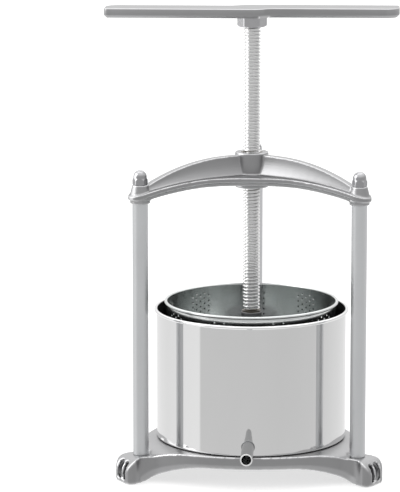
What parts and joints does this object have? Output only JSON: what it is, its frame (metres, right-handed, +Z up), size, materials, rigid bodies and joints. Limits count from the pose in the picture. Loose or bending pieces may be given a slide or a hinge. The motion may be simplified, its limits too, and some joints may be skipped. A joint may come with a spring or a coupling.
{
  "type": "fruit press",
  "caption": "Tabletop screw press with a long twisted handle, arched crossbar on columns, perforated basket in a juice drum with a spout, and a cast tripod base.",
  "frame": {"origin": "on the screw axis, in the plane of the feet", "axes": "+Z up along the screw, -Y towards the spout at the front, +X to the right"},
  "size_m": [0.338, 0.34, 0.5421],
  "materials": {
    "cast_aluminium": "bead-blasted casting",
    "column_steel": "satin turned bar",
    "fastener_steel": "bright zinc plated",
    "bronze": "machined",
    "screw_steel": "rolled trapezoidal thread",
    "hub_steel": "turned",
    "spring_steel": "plain",
    "sheet_stainless": "mirror polished",
    "perforated_stainless": "rolled perforated sheet"
  },
  "bodies": {
    "frame": {"base_casting": "cast_aluminium", "column_left": "column_steel", "column_right": "column_steel", "column_rear": "column_steel", "column_washers": "fastener_steel", "column_bolts": "fastener_steel", "column_studs": "fastener_steel", "dome_nuts": "fastener_steel", "crossbar": "cast_aluminium", "spindle_bush": "bronze"},
    "plate": {"press_plate": "sheet_stainless", "plate_hub": "hub_steel", "plate_screws": "fastener_steel"},
    "screw": {"spindle": "screw_steel", "handle": "cast_aluminium", "handle_lock_nut": "fastener_steel", "thrust_washer": "bronze", "retaining_ring": "spring_steel"},
    "drum": {"drum": "sheet_stainless", "spout": "sheet_stainless", "spout_collar": "sheet_stainless"},
    "basket": {"basket": "perforated_stainless", "basket_floor": "perforated_stainless"}
  },
  "joints": [
    {"name": "plate_travel", "type": "slide", "parent": "frame", "child": "plate", "axis": [0, 0, 1], "range_m": [-0.087, 0.143]},
    {"name": "spindle_turn", "type": "hinge", "parent": "plate", "child": "screw", "pos_m": [0, 0, 0.2], "axis": [0, 0, 1], "range_deg": [-7831, 12871]},
    {"name": "drum_turn", "type": "hinge", "parent": "frame", "child": "drum", "pos_m": [0, 0, 0.04], "axis": [0, 0, 1], "range_deg": [-48, 48]},
    {"name": "basket_turn", "type": "hinge", "parent": "drum", "child": "basket", "pos_m": [0, 0, 0.06], "axis": [0, 0, 1], "continuous": true}
  ],
  "couplings": [
    {"joint": "plate_travel", "follows": "spindle_turn", "m_per_rad": 0.00063662}
  ]
}
